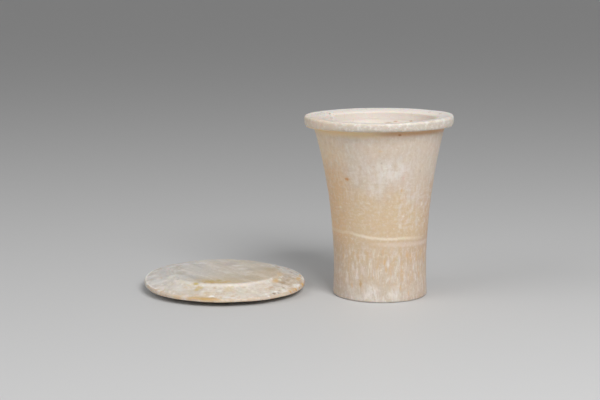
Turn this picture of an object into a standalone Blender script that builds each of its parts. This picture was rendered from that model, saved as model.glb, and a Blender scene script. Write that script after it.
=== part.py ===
# Stone ointment jar with a flared body, a rolled rim and a loose domed lid that lies upside down beside it.
# Metres, +Z up. The origin is the centre of the jar's flat underside, on the surface that it stands on.

import math

import bmesh
import bpy
from mathutils import Vector

for old_object in list(bpy.data.objects):
    bpy.data.objects.remove(old_object, do_unlink=True)

# Turning: sides of the turned solids, and steps along each stretch of their profiles
SIDES = 60
FLOOR_STEPS = 5
BORE_STEPS = 7
LIP_STEPS = 5
RIM_STEPS = 5
COVE_STEPS = 2
BODY_STEPS = 12
FOOT_STEPS = 3
PLUG_STEPS = 4
LID_EDGE_STEPS = 3
DOME_STEPS = 7
MERGE_DISTANCE = 0.00001

# Jar, outside
JAR_HEIGHT = 0.105
FOOT_RADIUS = 0.0276
FOOT_EDGE_ROUNDING = 0.0012
WAIST_RADIUS = 0.0270
WAIST_HEIGHT = 0.0165
NECK_RADIUS = 0.0380
RIM_PROJECTION = 0.0051
RIM_THICKNESS = 0.0053
RIM_EDGE_REACH = 0.0016
RIM_EDGE_ABOVE = 0.0020
RIM_EDGE_FULLNESS = 2.5
RIM_COVE = 0.0009
LIP_DROP = 0.0022

# Jar, inside
NECK_WALL = 0.0045
WAIST_WALL = 0.0058
FLOOR_THICKNESS = 0.0090
FLOOR_CORNER_RADIUS = 0.0090

# Jar, hand work: the turned form leans, its rim sits off centre and runs a little uneven
JAR_LEAN = math.radians(0.57)
RIM_SHIFT = 0.0007
RIM_SHIFT_POWER = 6
CREST_WAVE = 0.00015
UNDERCUT_WAVE = 0.0005
UNDERCUT_FADE = 0.012
JAR_OUT_OF_ROUND = 0.00012
JAR_OVAL_TURN = math.radians(46)
JAR_OVAL_TWIST = math.radians(115)

# Lid: how far its flange passes the jar's rim, its thickness, and the plug that drops into the mouth.
# The flange falls outwards from the foot of the plug to a narrow edge, deeper above its widest line.
LID_OVERHANG = 0.0048
LID_DOME_RISE = 0.0036
LID_REST_RADIUS = 0.0070
LID_EDGE_BELOW = 0.0009
LID_EDGE_ABOVE = 0.0019
LID_EDGE_ROUNDING = 0.0007
FLANGE_FALL = 0.0028
PLUG_HEIGHT = 0.0014
PLUG_PLAY = 0.0005
PLUG_EDGE_ROUNDING = 0.0007
PLUG_EDGE_BREAK = 50
PLUG_SIDE_SPREAD = 0.0034
PLUG_SIDE_POWER = 1.5
LID_GAP = 0.0172
LID_Y = 0.0099

# Lid, hand work: its upper side is not quite level, and the outline wanders (lobes, share of the wander,
# phase) and has one stretch worn flat
LID_SLOPE_X = -0.0090
LID_SLOPE_Y = 0.0315
LID_OUT_OF_ROUND = 0.0010
LID_LOBES = ((2, 1.0, 3.2), (3, 0.50, 2.0))
WORN_STRETCH = math.radians(130)
WORN_DEPTH = 0.0032

# Chips broken from the edge of the mouth: degrees round the rim from +X, and the reach of the bite
MOUTH_CHIPS = ((-81.0, 0.0017), (-73.0, 0.0012), (-58.0, 0.0014), (-104.0, 0.0012), (142.0, 0.0021))
CHIP_RISE = 0.55

# Sizes that follow from the ones above
NECK_HEIGHT = JAR_HEIGHT - RIM_THICKNESS
RIM_RADIUS = NECK_RADIUS + RIM_PROJECTION
MOUTH_RADIUS = NECK_RADIUS - NECK_WALL
LIP_HEIGHT = JAR_HEIGHT - min(LIP_DROP, RIM_THICKNESS)
PLUG_RADIUS = MOUTH_RADIUS - PLUG_PLAY
LID_RADIUS = RIM_RADIUS + LID_OVERHANG
LID_EDGE_HEIGHT = LID_DOME_RISE + LID_EDGE_BELOW + LID_EDGE_ABOVE
LID_X = -(FOOT_RADIUS + LID_GAP + LID_RADIUS)


def body_radius(height):
    """Outer radius of the body: a parabola up from the waist, and a slight spread down to the foot."""
    if height >= WAIST_HEIGHT:
        share = (height - WAIST_HEIGHT) / (NECK_HEIGHT - WAIST_HEIGHT)
        return WAIST_RADIUS + (NECK_RADIUS - WAIST_RADIUS) * share ** 2
    share = (WAIST_HEIGHT - height) / WAIST_HEIGHT
    return WAIST_RADIUS + (FOOT_RADIUS - WAIST_RADIUS) * share ** 2


def bore_radius(height):
    """Inner radius of the body: the wall thins evenly from the waist to the neck."""
    share = (height - WAIST_HEIGHT) / (NECK_HEIGHT - WAIST_HEIGHT)
    share = min(max(share, 0.0), 1.0)
    return body_radius(height) - WAIST_WALL - (NECK_WALL - WAIST_WALL) * share


def arc(centre, reach_out, reach_up, start_degrees, end_degrees, steps, fullness=2.0):
    """Points of an elliptical arc in the (radius, height) plane; a fullness above 2 makes it squarer."""
    points = []
    for step in range(steps + 1):
        angle = math.radians(start_degrees + (end_degrees - start_degrees) * step / steps)
        out = math.copysign(abs(math.cos(angle)) ** (2.0 / fullness), math.cos(angle))
        up = math.copysign(abs(math.sin(angle)) ** (2.0 / fullness), math.sin(angle))
        points.append((centre[0] + reach_out * out, centre[1] + reach_up * up))
    return points


def levels(low, high, steps):
    """Evenly spaced heights between two ends, the ends left out."""
    return [low + (high - low) * step / steps for step in range(1, steps)]


def jar_profile():
    """Half section of the hollow jar: out over the floor, up inside, over the rim and down the outside."""
    corner = min(FLOOR_CORNER_RADIUS, MOUTH_RADIUS / 2)
    corner_height = FLOOR_THICKNESS + corner
    corner_centre = (bore_radius(corner_height) - corner, corner_height)
    points = [(0.0, FLOOR_THICKNESS)]
    points += arc(corner_centre, corner, corner, -90, 0, FLOOR_STEPS)
    points += [(bore_radius(height), height) for height in levels(corner_height, NECK_HEIGHT, BORE_STEPS)]
    points.append((MOUTH_RADIUS, NECK_HEIGHT))
    crest = RIM_RADIUS - RIM_EDGE_REACH
    points += arc((crest, LIP_HEIGHT), crest - MOUTH_RADIUS, JAR_HEIGHT - LIP_HEIGHT, 180, 90, LIP_STEPS)
    above = min(RIM_EDGE_ABOVE, RIM_THICKNESS / 2)
    below = RIM_THICKNESS - above
    edge_centre = (crest, JAR_HEIGHT - above)
    points += arc(edge_centre, RIM_EDGE_REACH, above, 90, 0, RIM_STEPS, RIM_EDGE_FULLNESS)[1:]
    points += arc(edge_centre, RIM_EDGE_REACH, below, 0, -90, RIM_STEPS, RIM_EDGE_FULLNESS)[1:]
    cove = NECK_HEIGHT - RIM_COVE
    points += arc((body_radius(cove) + RIM_COVE, cove), RIM_COVE, RIM_COVE, 90, 180, COVE_STEPS)
    edge = FOOT_EDGE_ROUNDING
    points += [(body_radius(height), height) for height in reversed(levels(edge, cove, BODY_STEPS))]
    points += arc((body_radius(edge) - edge, edge), edge, edge, 0, -90, FOOT_STEPS)
    points.append((0.0, 0.0))
    return points


def lid_profile():
    """Half section of the lid as it lies: plug on top, flange round it, domed face and flat spot below."""
    foot_height = LID_EDGE_HEIGHT + FLANGE_FALL
    top = foot_height + PLUG_HEIGHT
    rounding = min(PLUG_EDGE_ROUNDING, PLUG_HEIGHT / 2)
    edge_centre = (LID_RADIUS - LID_EDGE_ROUNDING, LID_DOME_RISE + LID_EDGE_BELOW)
    foot_radius = PLUG_RADIUS + min(PLUG_SIDE_SPREAD, (edge_centre[0] - PLUG_RADIUS) / 2)
    points = [(0.0, top)]
    points += arc((PLUG_RADIUS - rounding, top - rounding), rounding, rounding, 90, PLUG_EDGE_BREAK, 2)
    side_radius, side_height = points[-1]
    for step in range(1, PLUG_STEPS + 1):
        share = step / PLUG_STEPS
        drop = (side_height - foot_height) * (1.0 - share) ** PLUG_SIDE_POWER
        points.append((side_radius + (foot_radius - side_radius) * share, foot_height + drop))
    points += arc(edge_centre, LID_EDGE_ROUNDING, LID_EDGE_ABOVE, 90, 0, LID_EDGE_STEPS)
    points += arc(edge_centre, LID_EDGE_ROUNDING, LID_EDGE_BELOW, 0, -90, LID_EDGE_STEPS)[1:]
    for step in range(DOME_STEPS - 1, -1, -1):
        share = step / DOME_STEPS
        out = LID_REST_RADIUS + (edge_centre[0] - LID_REST_RADIUS) * share
        points.append((out, LID_DOME_RISE * share ** 2))
    points.append((0.0, 0.0))
    return points


def turned_mesh(name, points):
    """A closed solid turned from a profile whose outer side runs from top to bottom."""
    profile = bpy.data.meshes.new(name + "_profile")
    drawing = bmesh.new()
    corners = [drawing.verts.new((out, 0.0, height)) for out, height in points]
    for first, second in zip(corners, corners[1:]):
        drawing.edges.new((first, second))
    drawing.to_mesh(profile)
    drawing.free()
    blank = bpy.data.objects.new(name + "_blank", profile)
    bpy.context.scene.collection.objects.link(blank)
    screw = blank.modifiers.new("turning", "SCREW")
    screw.axis = "Z"
    screw.angle = math.tau
    screw.steps = SIDES
    screw.render_steps = SIDES
    screw.use_merge_vertices = True
    screw.merge_threshold = MERGE_DISTANCE
    solid = bpy.data.meshes.new_from_object(blank.evaluated_get(bpy.context.evaluated_depsgraph_get()))
    bpy.data.objects.remove(blank, do_unlink=True)
    bpy.data.meshes.remove(profile)
    solid.name = name
    return solid


def undercut_share(height):
    """One at the underside of the rim, none at its crest and further down the body."""
    if height > NECK_HEIGHT:
        return max(1.0 - (height - NECK_HEIGHT) / RIM_THICKNESS, 0.0)
    return max(1.0 - (NECK_HEIGHT - height) / UNDERCUT_FADE, 0.0)


def jar_hand_work(point):
    """The lean, shifted rim and slight unevenness of a jar cut by hand; the underside stays flat."""
    x, y, z = point
    angle = math.atan2(y, x)
    rise = z / JAR_HEIGHT
    rim = rise ** RIM_SHIFT_POWER
    oval = math.sin(2 * angle + JAR_OVAL_TURN + JAR_OVAL_TWIST * rise)
    scale = 1.0 + JAR_OUT_OF_ROUND / WAIST_RADIUS * oval
    x = x * scale - RIM_SHIFT * rim
    y = y * scale
    z -= CREST_WAVE * rim * math.sin(3 * angle)
    z -= UNDERCUT_WAVE * undercut_share(z) * math.cos(2 * angle)
    slope = math.tan(JAR_LEAN)
    return Vector((x - slope * z, y, z + slope * x * rise))


def lid_hand_work(point):
    """The wandering outline, the stretch of it worn flat, and the slope of the upper side."""
    x, y, z = point
    angle = math.atan2(y, x)
    out = math.hypot(x, y) / LID_RADIUS
    wander = sum(share * math.sin(lobes * angle + phase) for lobes, share, phase in LID_LOBES)
    scale = 1.0 + LID_OUT_OF_ROUND / LID_RADIUS * wander * out ** 2
    flat_reach = 1.0 - WORN_DEPTH / LID_RADIUS
    reach = out * math.cos(angle - WORN_STRETCH)
    if reach > flat_reach:
        scale *= flat_reach / reach
    level = min(z / LID_EDGE_HEIGHT, 1.0)
    return Vector((x * scale, y * scale, z + level * (LID_SLOPE_X * x + LID_SLOPE_Y * y)))


def shaped(mesh, rule):
    """Moves every point of a turned solid by one of the rules above."""
    for vertex in mesh.vertices:
        vertex.co = rule(vertex.co)
    mesh.shade_smooth()
    return mesh


def travertine(name, colour, roughness):
    """Banded cream stone, rubbed to a dull sheen."""
    stone = bpy.data.materials.new(name)
    stone.use_nodes = True
    shader = stone.node_tree.nodes["Principled BSDF"]
    shader.inputs["Base Color"].default_value = colour
    shader.inputs["Roughness"].default_value = roughness
    shader.inputs["Metallic"].default_value = 0.0
    stone.diffuse_color = colour
    return stone


def chip_cutter(name, collection):
    """One mesh of small rough balls, set along the inner edge of the mouth where the stone has chipped."""
    balls = bmesh.new()
    for degrees, reach in MOUTH_CHIPS:
        angle = math.radians(degrees)
        ball = bmesh.ops.create_icosphere(balls, subdivisions=1, radius=reach)
        lip = Vector((MOUTH_RADIUS * math.cos(angle), MOUTH_RADIUS * math.sin(angle), LIP_HEIGHT))
        centre = jar_hand_work(lip) + Vector((0.0, 0.0, reach * CHIP_RISE))
        bmesh.ops.translate(balls, verts=ball["verts"], vec=centre)
    mesh = bpy.data.meshes.new(name)
    balls.to_mesh(mesh)
    balls.free()
    cutter = bpy.data.objects.new(name, mesh)
    cutter.hide_render = True
    cutter.display_type = "WIRE"
    collection.objects.link(cutter)
    return cutter


pieces = bpy.data.collections.new("ointment_jar")
cutters = bpy.data.collections.new("cutters")
bpy.context.scene.collection.children.link(pieces)
bpy.context.scene.collection.children.link(cutters)

# Jar
jar = bpy.data.objects.new("jar", shaped(turned_mesh("jar", jar_profile()), jar_hand_work))
jar.data.materials.append(travertine("jar_travertine", (0.74, 0.63, 0.47, 1.0), 0.42))
pieces.objects.link(jar)
chipping = jar.modifiers.new("mouth_chips", "BOOLEAN")
chipping.operation = "DIFFERENCE"
chipping.solver = "EXACT"
chipping.object = chip_cutter("mouth_chip_cutter", cutters)

# Lid, lying on its domed face with the plug up
lid = bpy.data.objects.new("lid", shaped(turned_mesh("lid", lid_profile()), lid_hand_work))
lid.location = (LID_X, LID_Y, 0.0)
lid.data.materials.append(travertine("lid_travertine", (0.66, 0.61, 0.52, 1.0), 0.50))
pieces.objects.link(lid)
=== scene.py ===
import math

import bmesh
import bpy
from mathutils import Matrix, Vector, noise


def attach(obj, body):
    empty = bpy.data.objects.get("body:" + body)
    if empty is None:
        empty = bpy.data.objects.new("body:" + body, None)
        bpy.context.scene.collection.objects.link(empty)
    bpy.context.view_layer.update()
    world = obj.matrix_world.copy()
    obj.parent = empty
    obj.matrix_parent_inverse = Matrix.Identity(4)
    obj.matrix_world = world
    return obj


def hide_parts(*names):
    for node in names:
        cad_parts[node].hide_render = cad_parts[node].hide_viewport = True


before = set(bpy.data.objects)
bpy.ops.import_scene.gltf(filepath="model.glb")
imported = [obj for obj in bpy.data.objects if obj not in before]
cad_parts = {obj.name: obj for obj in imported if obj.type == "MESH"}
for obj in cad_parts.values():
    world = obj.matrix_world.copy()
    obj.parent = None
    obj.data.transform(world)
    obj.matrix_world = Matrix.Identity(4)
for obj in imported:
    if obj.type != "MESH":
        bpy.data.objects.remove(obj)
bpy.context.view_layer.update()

# Jar
# One block of travertine, drilled hollow and ground by hand to a flaring wall 4 to 6 mm thick with a
# rolled rim and a flat foot. It was rubbed to a dull sheen, and has since been pitted and stained, and
# chipped at the mouth.
JAR_HEIGHT = 0.105
FOOT_RADIUS = 0.0276
FOOT_ROUNDING = 0.0012
WAIST_RADIUS = 0.0270
WAIST_HEIGHT = 0.0165
NECK_RADIUS = 0.0380
RIM_RADIUS = 0.0431
RIM_THICKNESS = 0.0053
RIM_EDGE_REACH = 0.0016
RIM_EDGE_ABOVE = 0.0020
RIM_EDGE_FULLNESS = 2.5
RIM_COVE = 0.0009
LIP_DROP = 0.0022
NECK_WALL = 0.0045
WAIST_WALL = 0.0058
FLOOR_THICKNESS = 0.0090
FLOOR_CORNER = 0.0090
NECK_HEIGHT = JAR_HEIGHT - RIM_THICKNESS
LIP_HEIGHT = JAR_HEIGHT - LIP_DROP
MOUTH_RADIUS = NECK_RADIUS - NECK_WALL
CREST_RADIUS = RIM_RADIUS - RIM_EDGE_REACH

JAR_LEAN = math.radians(0.57)
RIM_SHIFT = 0.0007
CREST_WAVE = 0.00015
CREST_RISE = 0.0006
UNDERCUT_WAVE = 0.0005
UNDERCUT_FADE = 0.012
JAR_OUT_OF_ROUND = 0.00012
JAR_OVAL_TURN = math.radians(46)
JAR_OVAL_TWIST = math.radians(115)

TURNING_STEPS = 400
RIM_STEP = 0.00042
WALL_STEP = 0.0009
BORE_STEP = 0.0018
FLOOR_STEP = 0.0020
CORNER_STEP = 0.0012
UNDERSIDE_STEP = 0.0030


def body_radius(height):
    """Outer radius: a parabola up from the waist to the neck, and a slight spread down to the foot."""
    if height >= WAIST_HEIGHT:
        share = (height - WAIST_HEIGHT) / (NECK_HEIGHT - WAIST_HEIGHT)
        return WAIST_RADIUS + (NECK_RADIUS - WAIST_RADIUS) * share ** 2
    share = (WAIST_HEIGHT - height) / WAIST_HEIGHT
    return WAIST_RADIUS + (FOOT_RADIUS - WAIST_RADIUS) * share ** 2


def bore_radius(height):
    """Inner radius: the wall thins evenly from the waist to the neck."""
    share = min(max((height - WAIST_HEIGHT) / (NECK_HEIGHT - WAIST_HEIGHT), 0.0), 1.0)
    return body_radius(height) - WAIST_WALL - (NECK_WALL - WAIST_WALL) * share


def arc(centre, reach_out, reach_up, start, end, step_length, fullness=2.0):
    """Points of an elliptical arc in the (radius, height) plane; a fullness above 2 makes it squarer."""
    sweep = math.radians(end - start)
    steps = max(round(abs(sweep) * max(reach_out, reach_up) / step_length), 2)
    points = []
    for step in range(steps + 1):
        angle = math.radians(start) + sweep * step / steps
        out = math.copysign(abs(math.cos(angle)) ** (2.0 / fullness), math.cos(angle))
        up = math.copysign(abs(math.sin(angle)) ** (2.0 / fullness), math.sin(angle))
        points.append((centre[0] + reach_out * out, centre[1] + reach_up * up))
    return points


def run(low, high, step_length):
    """Evenly spaced values between two ends, the ends left out."""
    steps = round((high - low) / step_length)
    return [low + (high - low) * step / steps for step in range(1, steps)]


def turned(section):
    """A closed solid of revolution: the section's points joined by edges, spun about Z and welded."""
    solid = bmesh.new()
    corners = [solid.verts.new((out, 0.0, height)) for out, height in section]
    edges = [solid.edges.new(pair) for pair in zip(corners, corners[1:])]
    bmesh.ops.spin(solid, geom=corners + edges, axis=(0, 0, 1), cent=(0, 0, 0), angle=math.tau,
                   steps=TURNING_STEPS, use_merge=True)
    bmesh.ops.remove_doubles(solid, verts=solid.verts, dist=0.00001)
    bmesh.ops.recalc_face_normals(solid, faces=solid.faces)
    return solid


def finished(solid, name, material):
    """Turns a modelled solid into a smooth-shaded object that rides on the part's one body."""
    mesh = bpy.data.meshes.new(name)
    bmesh.ops.recalc_face_normals(solid, faces=solid.faces)
    solid.to_mesh(mesh)
    solid.free()
    mesh.shade_smooth()
    mesh.materials.append(material)
    piece = bpy.data.objects.new(name, mesh)
    bpy.context.scene.collection.objects.link(piece)
    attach(piece, "root")
    return piece


floor_centre = (bore_radius(FLOOR_THICKNESS + FLOOR_CORNER) - FLOOR_CORNER, FLOOR_THICKNESS + FLOOR_CORNER)
cove_height = NECK_HEIGHT - RIM_COVE
jar_section = [(0.0, FLOOR_THICKNESS)]
jar_section += [(out, FLOOR_THICKNESS) for out in run(0.0, floor_centre[0], FLOOR_STEP)]
jar_section += arc(floor_centre, FLOOR_CORNER, FLOOR_CORNER, -90, 0, CORNER_STEP)
jar_section += [(bore_radius(up), up) for up in run(floor_centre[1], NECK_HEIGHT, BORE_STEP)]
jar_section.append((MOUTH_RADIUS, NECK_HEIGHT))
jar_section += arc((CREST_RADIUS, LIP_HEIGHT), CREST_RADIUS - MOUTH_RADIUS, LIP_DROP, 180, 90, RIM_STEP)
edge_centre = (CREST_RADIUS, JAR_HEIGHT - RIM_EDGE_ABOVE)
edge_below = RIM_THICKNESS - RIM_EDGE_ABOVE
jar_section += arc(edge_centre, RIM_EDGE_REACH, RIM_EDGE_ABOVE, 90, 0, RIM_STEP, RIM_EDGE_FULLNESS)[1:]
jar_section += arc(edge_centre, RIM_EDGE_REACH, edge_below, 0, -90, RIM_STEP, RIM_EDGE_FULLNESS)[1:]
cove_centre = (body_radius(cove_height) + RIM_COVE, cove_height)
jar_section += [(out, NECK_HEIGHT) for out in reversed(run(cove_centre[0], CREST_RADIUS, RIM_STEP))]
jar_section += arc(cove_centre, RIM_COVE, RIM_COVE, 90, 180, RIM_STEP)
jar_section += [(body_radius(up), up) for up in reversed(run(FOOT_ROUNDING, cove_height, WALL_STEP))]
jar_section += arc((body_radius(FOOT_ROUNDING) - FOOT_ROUNDING, FOOT_ROUNDING),
                   FOOT_ROUNDING, FOOT_ROUNDING, 0, -90, RIM_STEP)
jar_section += [(out, 0.0) for out in reversed(run(0.0, FOOT_RADIUS - FOOT_ROUNDING, UNDERSIDE_STEP))]
jar_section.append((0.0, 0.0))


def undercut_share(height):
    """One at the underside of the rim, none at its crest and further down the body."""
    if height > NECK_HEIGHT:
        return max(1.0 - (height - NECK_HEIGHT) / RIM_THICKNESS, 0.0)
    return max(1.0 - (NECK_HEIGHT - height) / UNDERCUT_FADE, 0.0)


def jar_hand_work(point):
    """The lean, shifted rim and slight unevenness of a jar cut by hand; the underside stays flat."""
    x, y, z = point
    angle = math.atan2(y, x)
    rise = z / JAR_HEIGHT
    rim = rise ** 6
    oval = math.sin(2 * angle + JAR_OVAL_TURN + JAR_OVAL_TWIST * rise)
    scale = 1.0 + JAR_OUT_OF_ROUND / WAIST_RADIUS * oval
    x = x * scale - RIM_SHIFT * rim
    y = y * scale
    crest_share = min(max((z - NECK_HEIGHT) / RIM_THICKNESS, 0.0), 1.0)
    z += CREST_RISE * crest_share * math.cos(angle) ** 2
    z -= CREST_WAVE * rim * math.sin(3 * angle)
    z -= UNDERCUT_WAVE * undercut_share(z) * math.cos(2 * angle)
    slope = math.tan(JAR_LEAN)
    return Vector((x - slope * z, y, z + slope * x * rise))


# How far in the bore's fresher stone begins, and how softly
HOLLOW_FROM = 0.0405
HOLLOW_BLEND = 0.0045

jar_solid = turned(jar_section)
hollow = jar_solid.verts.layers.float.new("hollow")
chipped = jar_solid.verts.layers.float.new("chipped")
for corner in jar_solid.verts:
    out = math.hypot(corner.co.x, corner.co.y)
    if corner.co.z > NECK_HEIGHT and out < CREST_RADIUS:
        corner[hollow] = min(max((HOLLOW_FROM - out) / HOLLOW_BLEND, 0.0), 1.0)
    elif corner.co.z > FLOOR_THICKNESS / 2 and out < bore_radius(corner.co.z) + WAIST_WALL / 4:
        corner[hollow] = 1.0
    corner.co = jar_hand_work(corner.co)

# Sizes of the waves, ripples and grain, and the height over which they start above the ground
WAVE_SIZE = 0.016
RIPPLE_WIDTH = 0.020
RIPPLE_HEIGHT = 0.0026
GRAIN_SIZE = 0.0021
STANDING_FADE = 0.0015


def worn_surface(solid, waviness, ripple, grain, seed):
    """Broad waves, level grinding ripples and a fine grain, along each point's normal."""
    solid.normal_update()
    moves = []
    for corner in solid.verts:
        spot = corner.co + Vector((seed, 0.0, 0.0))
        move = waviness * noise.noise(spot / WAVE_SIZE)
        rippled = Vector((spot.x / RIPPLE_WIDTH, spot.y / RIPPLE_WIDTH, spot.z / RIPPLE_HEIGHT))
        move += ripple * noise.noise(rippled)
        move += grain * noise.noise(spot / GRAIN_SIZE)
        standing = min(corner.co.z / STANDING_FADE, 1.0)
        moves.append(corner.normal * move * standing)
    for corner, move in zip(solid.verts, moves):
        corner.co += move
        corner.co.z = max(corner.co.z, 0.0)


worn_surface(jar_solid, waviness=0.00013, ripple=0.00004, grain=0.00003, seed=0.0)

# How far a flake's edge wanders, as a share of its reach, and over what length
RAGGED_SHARE = 0.45
RAGGED_SIZE = 0.0009


def bite(corners, centre, reach, layer, depth):
    """A ragged hollow where a flake broke away: points within reach are pressed out to its edge."""
    for corner in corners:
        away = corner.co - centre
        if away.length > 1.5 * reach:
            continue
        ragged = reach * (1.0 + RAGGED_SHARE * noise.noise(corner.co / RAGGED_SIZE))
        if 0.0 < away.length < ragged:
            corner.co = centre + away.normalized() * ragged
            corner[layer] = max(corner[layer], depth)


def on_rim(degrees, out, height):
    """A point by the rim, in the jar's own worn shape."""
    angle = math.radians(degrees)
    return jar_hand_work(Vector((out * math.cos(angle), out * math.sin(angle), height)))


# Chips at the mouth's inner edge, nicks on the crest and pits on the slope between them:
# degrees round from +X, reach of the bite, and how much dirt it holds; at the front of the mouth this dark
# is also painted shade along the inner edge
CHIP_LIFT = 0.55
NICK_LIFT = 0.60
NICK_RADIUS = CREST_RADIUS - 0.0010
PIT_LIFT = 0.50
PIT_RADIUS = 0.0366
PIT_HEIGHT = LIP_HEIGHT + 0.0013
rim_corners = [corner for corner in jar_solid.verts if corner.co.z > NECK_HEIGHT]
inner_chips = ((-81, 0.0017, 0.9), (-73, 0.0012, 0.8), (-58, 0.0014, 0.7), (-104, 0.0012, 0.7),
               (142, 0.0021, 0.2))
for degrees, reach, darkening in inner_chips:
    place = on_rim(degrees, MOUTH_RADIUS, LIP_HEIGHT) + Vector((0, 0, CHIP_LIFT * reach))
    bite(rim_corners, place, reach, chipped, darkening)
crest_nicks = ((-112, 0.0007, 0.4), (-103, 0.0006, 0.5), (-97, 0.0008, 0.5), (-88, 0.0012, 0.9),
               (-83, 0.0009, 0.9), (-72, 0.0011, 0.7), (-64, 0.0007, 0.4), (-31, 0.0009, 0.3),
               (35, 0.0010, 0.3), (78, 0.0008, 0.3))
for degrees, reach, darkening in crest_nicks:
    place = on_rim(degrees, NICK_RADIUS, JAR_HEIGHT) + Vector((0, 0, NICK_LIFT * reach))
    bite(rim_corners, place, reach, chipped, darkening)
slope_pits = ((151, 0.0010, 0.4), (158, 0.0012, 0.5), (167, 0.0010, 0.4), (31, 0.0009, 0.5),
              (8, 0.0009, 0.4))
for degrees, reach, darkening in slope_pits:
    place = on_rim(degrees, PIT_RADIUS, PIT_HEIGHT) + Vector((0, 0, PIT_LIFT * reach))
    bite(rim_corners, place, reach, chipped, darkening)


class Stone:
    """Lays up a stone's colour and relief from clouds, bands, streaks and marks in object space."""

    def __init__(self, name):
        self.material = bpy.data.materials.new(name)
        self.material.use_nodes = True
        self.tree = self.material.node_tree
        self.shader = self.tree.nodes["Principled BSDF"]
        self.place = self.tree.nodes.new("ShaderNodeTexCoord").outputs["Object"]
        axes = self.tree.nodes.new("ShaderNodeSeparateXYZ")
        self.tree.links.new(self.place, axes.inputs[0])
        self.x, self.y, self.z = axes.outputs
        self.tone = None

    def put(self, socket, value):
        """Links another node's output to a socket, or sets a plain value on it."""
        if isinstance(value, bpy.types.NodeSocket):
            self.tree.links.new(value, socket)
        else:
            socket.default_value = value

    def sum(self, operation, first, second=0.0, third=0.0):
        """One step of arithmetic."""
        step = self.tree.nodes.new("ShaderNodeMath")
        step.operation = operation
        for socket, value in zip(step.inputs, (first, second, third)):
            self.put(socket, value)
        return step.outputs[0]

    def fade(self, value, none, full, strength=1.0):
        """Rises softly from 0 to strength as the value goes from none to full, either way round."""
        step = self.tree.nodes.new("ShaderNodeMapRange")
        step.interpolation_type = "SMOOTHSTEP"
        for name, number in (("From Min", none), ("From Max", full), ("To Min", 0.0), ("To Max", strength)):
            step.inputs[name].default_value = number
        self.put(step.inputs["Value"], value)
        return step.outputs["Result"]

    def between(self, value, low, high, soft, strength=1.0):
        """One stretch of a value, with soft ends."""
        started = self.fade(value, low - soft, low + soft, strength)
        return self.kept(started, self.fade(value, high + soft, high - soft))

    def course(self, value, low, high, points):
        """A height read from a smooth curve over a value; both run from low to high."""
        step = self.tree.nodes.new("ShaderNodeFloatCurve")
        curve = step.mapping.curves[0]
        span = high - low
        shares = [((across - low) / span, (up - low) / span) for across, up in points]
        curve.points[0].location = shares[0]
        curve.points[1].location = shares[-1]
        for share in shares[1:-1]:
            curve.points.new(*share)
        step.mapping.update()
        self.put(step.inputs["Value"], self.sum("DIVIDE", self.sum("SUBTRACT", value, low), span))
        return self.sum("MULTIPLY_ADD", step.outputs[0], span, low)

    def at(self, x, y, z=0.0):
        """A place put together from its three parts."""
        step = self.tree.nodes.new("ShaderNodeCombineXYZ")
        for socket, value in zip(step.inputs, (x, y, z)):
            self.put(socket, value)
        return step.outputs[0]

    def moved(self, place, size, shift=(0.0, 0.0, 0.0)):
        """The place in units of the given size along each axis, with a shift of the pattern."""
        step = self.tree.nodes.new("ShaderNodeMapping")
        self.put(step.inputs["Vector"], place)
        step.inputs["Scale"].default_value = [1.0 / s for s in size]
        step.inputs["Location"].default_value = shift
        return step.outputs["Vector"]

    def cloud(self, size, detail=2.0, roughness=0.5, shift=(0.0, 0.0, 0.0), place=None):
        """Soft noise between 0 and 1, of one size or of a size along each axis."""
        sizes = size if isinstance(size, tuple) else (size, size, size)
        step = self.tree.nodes.new("ShaderNodeTexNoise")
        step.inputs["Scale"].default_value = 1.0
        step.inputs["Detail"].default_value = detail
        step.inputs["Roughness"].default_value = roughness
        self.put(step.inputs["Vector"], self.moved(place or self.place, sizes, shift))
        return step.outputs["Fac"]

    def waver(self, size, reach, shift=(0.0, 0.0, 0.0)):
        """The place, pushed about by soft noise, so that edges drawn in it run ragged."""
        step = self.tree.nodes.new("ShaderNodeTexNoise")
        step.inputs["Scale"].default_value = 1.0
        step.inputs["Detail"].default_value = 2.0
        self.put(step.inputs["Vector"], self.moved(self.place, (size, size, size), shift))
        push = self.tree.nodes.new("ShaderNodeVectorMath")
        push.operation = "MULTIPLY_ADD"
        self.put(push.inputs[0], step.outputs["Color"])
        push.inputs[1].default_value = (2 * reach, 2 * reach, 2 * reach)
        self.put(push.inputs[2], self.place)
        back = self.tree.nodes.new("ShaderNodeVectorMath")
        back.operation = "SUBTRACT"
        self.put(back.inputs[0], push.outputs[0])
        back.inputs[1].default_value = (reach, reach, reach)
        return back.outputs[0]

    def specks(self, size, reach, rarity, shift=(0.0, 0.0, 0.0), place=None):
        """Small flecks scattered in a share of the cells of a random lattice."""
        step = self.tree.nodes.new("ShaderNodeTexVoronoi")
        step.inputs["Scale"].default_value = 1.0
        self.put(step.inputs["Vector"], self.moved(place or self.place, (size, size, size), shift))
        chosen = self.tree.nodes.new("ShaderNodeSeparateColor")
        self.put(chosen.inputs[0], step.outputs["Color"])
        kept = self.fade(chosen.outputs[0], rarity, rarity + 0.5 * (1.0 - rarity))
        width = self.sum("MULTIPLY_ADD", chosen.outputs[1], 0.7 * reach / size, 0.3 * reach / size)
        near = self.sum("DIVIDE", step.outputs["Distance"], width)
        return self.sum("MULTIPLY", kept, self.fade(near, 1.0, 0.3))

    def spot(self, centre, reach, softness=0.6, stretch=(1.0, 1.0, 1.0), place=None):
        """One round or stretched mark about a centre."""
        step = self.tree.nodes.new("ShaderNodeMapping")
        self.put(step.inputs["Vector"], place or self.place)
        scale = [1.0 / (reach * s) for s in stretch]
        step.inputs["Scale"].default_value = scale
        step.inputs["Location"].default_value = [-c * s for c, s in zip(centre, scale)]
        span = self.tree.nodes.new("ShaderNodeVectorMath")
        span.operation = "LENGTH"
        self.put(span.inputs[0], step.outputs["Vector"])
        return self.fade(span.outputs["Value"], 1.0, 1.0 - softness)

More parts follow.
